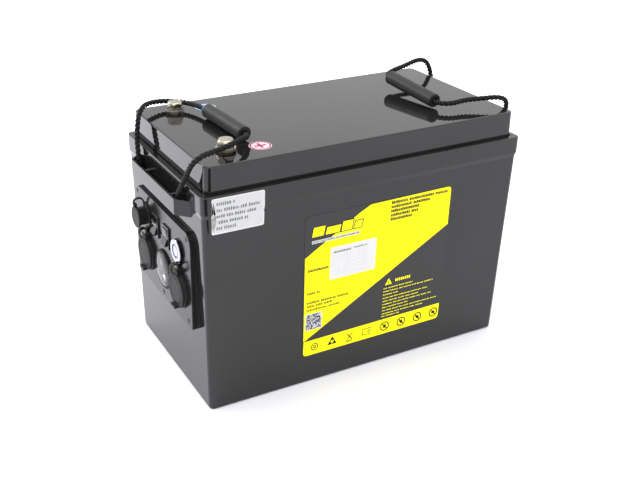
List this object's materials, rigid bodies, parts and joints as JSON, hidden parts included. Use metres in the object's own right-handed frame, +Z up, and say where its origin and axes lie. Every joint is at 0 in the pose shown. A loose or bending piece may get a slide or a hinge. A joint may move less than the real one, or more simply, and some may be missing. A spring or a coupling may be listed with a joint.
{
  "type": "deep cycle battery",
  "caption": "Sealed rectangular deep cycle battery in a black case with rope handles, top bolt terminals and an end panel of sockets, switches and a meter.",
  "frame": {"origin": "centre of the case's flat underside", "axes": "+Z up; -X the end with the socket panel; -Y the labelled front"},
  "size_m": [0.347, 0.1757, 0.2506],
  "materials": {
    "case_black": "glossy moulded black plastic",
    "panel_black": "glossy black plastic plate",
    "fitting_black": "satin black nylon",
    "switch_black": "glossy black rocker",
    "cap_rubber": "soft satin black rubber",
    "grip_rubber": "matt black rubber tube",
    "rope": "twisted black cord, three strands",
    "label_film": "printed film, yellow on black",
    "sticker_white": "coated white paper sticker",
    "mark_red": "printed polarity disc",
    "mark_blue": "printed polarity disc",
    "nickel": "bright nickel plate",
    "bolt_nickel": "bright nickel-plated steel",
    "steel": "satin steel",
    "brass": "machined brass",
    "copper": "bare copper strip",
    "lens_clear": "clear polished lens",
    "display_dark": "dark display window",
    "light_ring": "translucent blue ring",
    "seal_black": "black sealing compound",
    "cell_blue": "blue film-wrapped aluminium can",
    "foam": "closed-cell foam",
    "board_alloy": "anodised heat-sink case",
    "cable_red": "red silicone insulation",
    "cable_black": "black silicone insulation"
  },
  "bodies": {
    "battery": {"busbars": "copper", "button_body": "nickel", "button_light_ring": "light_ring", "button_nut": "nickel", "button_spring": "steel", "cell_1": "cell_blue", "cell_2": "cell_blue", "cell_3": "cell_blue", "cell_4": "cell_blue", "cell_base_pad": "foam", "cell_end_pads": "foam", "charge_port_body": "fitting_black", "charge_port_pins": "brass", "container": "case_black", "data_sticker": "sticker_white", "far_rocker_housing": "switch_black", "far_socket_body": "fitting_black", "far_socket_contact": "brass", "far_socket_sleeve": "nickel", "far_socket_strap": "cap_rubber", "fitting_nuts": "fitting_black", "front_label": "label_film", "left_anchored_rope": "rope", "lid": "case_black", "lid_seal": "seal_black", "management_board": "board_alloy", "meter_body": "panel_black", "meter_display": "display_dark", "meter_lens": "lens_clear", "near_rocker_housing": "switch_black", "near_socket_body": "fitting_black", "near_socket_contact": "brass", "near_socket_sleeve": "nickel", "near_socket_strap": "cap_rubber", "negative_cable": "cable_black", "negative_mark": "mark_blue", "negative_terminal": "brass", "panel_gasket": "seal_black", "panel_plate": "panel_black", "panel_screws": "steel", "positive_cable": "cable_red", "positive_mark": "mark_red", "positive_terminal": "brass", "right_anchored_rope": "rope", "rope_retaining_pins": "steel", "seal_sticker": "sticker_white"},
    "left_handle": {"left_handle_rope": "rope"},
    "left_grip_tube": {"left_grip": "grip_rubber"},
    "right_handle": {"right_handle_rope": "rope"},
    "right_grip_tube": {"right_grip": "grip_rubber"},
    "near_cap": {"near_socket_cap": "cap_rubber"},
    "far_cap": {"far_socket_cap": "cap_rubber"},
    "port_cap": {"charge_port_cap": "cap_rubber"},
    "near_rocker_paddle": {"near_rocker": "switch_black"},
    "far_rocker_paddle": {"far_rocker": "switch_black"},
    "push_button": {"button_cap": "nickel"},
    "positive_lift": {"positive_washers": "nickel"},
    "negative_lift": {"negative_washers": "nickel"},
    "positive_screw": {"positive_bolt": "bolt_nickel"},
    "negative_screw": {"negative_bolt": "bolt_nickel"}
  },
  "joints": [
    {"name": "left_handle_swing", "type": "hinge", "parent": "battery", "child": "left_handle", "pos_m": [-0.1658, 0, 0.198], "axis": [0, -1, 0], "range_deg": [0, 95]},
    {"name": "right_handle_swing", "type": "hinge", "parent": "battery", "child": "right_handle", "pos_m": [0.1658, 0, 0.198], "axis": [0, 1, 0], "range_deg": [0, 95]},
    {"name": "left_grip_turn", "type": "hinge", "parent": "left_handle", "child": "left_grip_tube", "pos_m": [-0.1032, -0.00695, 0.2379], "axis": [-0.04, 0.9992, 0], "continuous": true},
    {"name": "right_grip_turn", "type": "hinge", "parent": "right_handle", "child": "right_grip_tube", "pos_m": [0.09325, -0.00695, 0.2407], "axis": [-0.0385, 0.9971, 0.0656], "continuous": true},
    {"name": "near_cap_open", "type": "hinge", "parent": "battery", "child": "near_cap", "pos_m": [-0.1675, -0.0405, 0.124], "axis": [0, 1, 0], "range_deg": [0, 110]},
    {"name": "far_cap_open", "type": "hinge", "parent": "battery", "child": "far_cap", "pos_m": [-0.1675, 0.0372, 0.1248], "axis": [0, 1, 0], "range_deg": [0, 110]},
    {"name": "port_cap_open", "type": "hinge", "parent": "battery", "child": "port_cap", "pos_m": [-0.1731, 0.0384, 0.1568], "axis": [0, 1, 0], "range_deg": [0, 95]},
    {"name": "near_rocker_tilt", "type": "hinge", "parent": "battery", "child": "near_rocker_paddle", "pos_m": [-0.1637, -0.0128, 0.1428], "axis": [0, 1, 0], "range_deg": [0, 18]},
    {"name": "far_rocker_tilt", "type": "hinge", "parent": "battery", "child": "far_rocker_paddle", "pos_m": [-0.1637, 0.0128, 0.1428], "axis": [0, 1, 0], "range_deg": [0, 18]},
    {"name": "button_press", "type": "slide", "parent": "battery", "child": "push_button", "axis": [1, 0, 0], "range_m": [0, 0.0015], "stiffness_N_per_m": 300},
    {"name": "positive_washer_lift", "type": "slide", "parent": "battery", "child": "positive_lift", "axis": [0, 0, 1], "range_m": [0, 0.005]},
    {"name": "positive_bolt_turn", "type": "hinge", "parent": "positive_lift", "child": "positive_screw", "pos_m": [-0.1255, -0.055, 0.238], "axis": [0, 0, 1], "range_deg": [0, 1440]},
    {"name": "negative_washer_lift", "type": "slide", "parent": "battery", "child": "negative_lift", "axis": [0, 0, 1], "range_m": [0, 0.005]},
    {"name": "negative_bolt_turn", "type": "hinge", "parent": "negative_lift", "child": "negative_screw", "pos_m": [-0.1255, 0.055, 0.238], "axis": [0, 0, 1], "range_deg": [0, 1440]}
  ],
  "couplings": [
    {"joint": "positive_bolt_turn", "follows": "positive_washer_lift", "rad_per_m": 5026.5},
    {"joint": "negative_bolt_turn", "follows": "negative_washer_lift", "rad_per_m": 5026.5}
  ]
}
